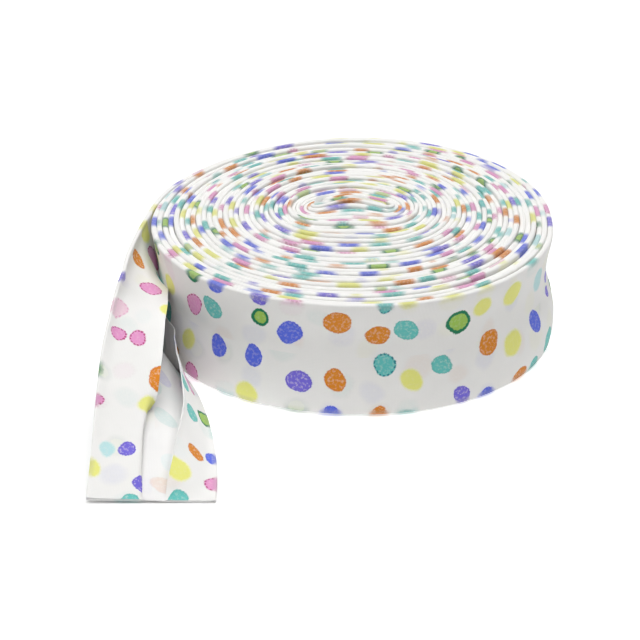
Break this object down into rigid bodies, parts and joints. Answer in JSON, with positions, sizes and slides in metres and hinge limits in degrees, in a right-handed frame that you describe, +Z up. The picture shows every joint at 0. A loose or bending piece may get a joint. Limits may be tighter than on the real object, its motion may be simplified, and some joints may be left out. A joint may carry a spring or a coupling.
{
  "type": "roll of bias binding",
  "caption": "Flat round roll of folded cotton bias binding with scattered coloured dots, its loose end twisting off the wall to lie flat, fold flaps up.",
  "frame": {"origin": "on the winding's axis, on the surface that the roll lies on", "axes": "+Z up along the winding's axis; -Y towards the side that the loose end comes out to; +X to the right seen from there"},
  "size_m": [0.0967, 0.1189, 0.0259],
  "materials": {
    "binding_cloth": "matt plain-woven cotton, printed with coloured dots"
  },
  "bodies": {
    "root": {"binding_roll": "binding_cloth", "loose_end": "binding_cloth"}
  },
  "joints": []
}
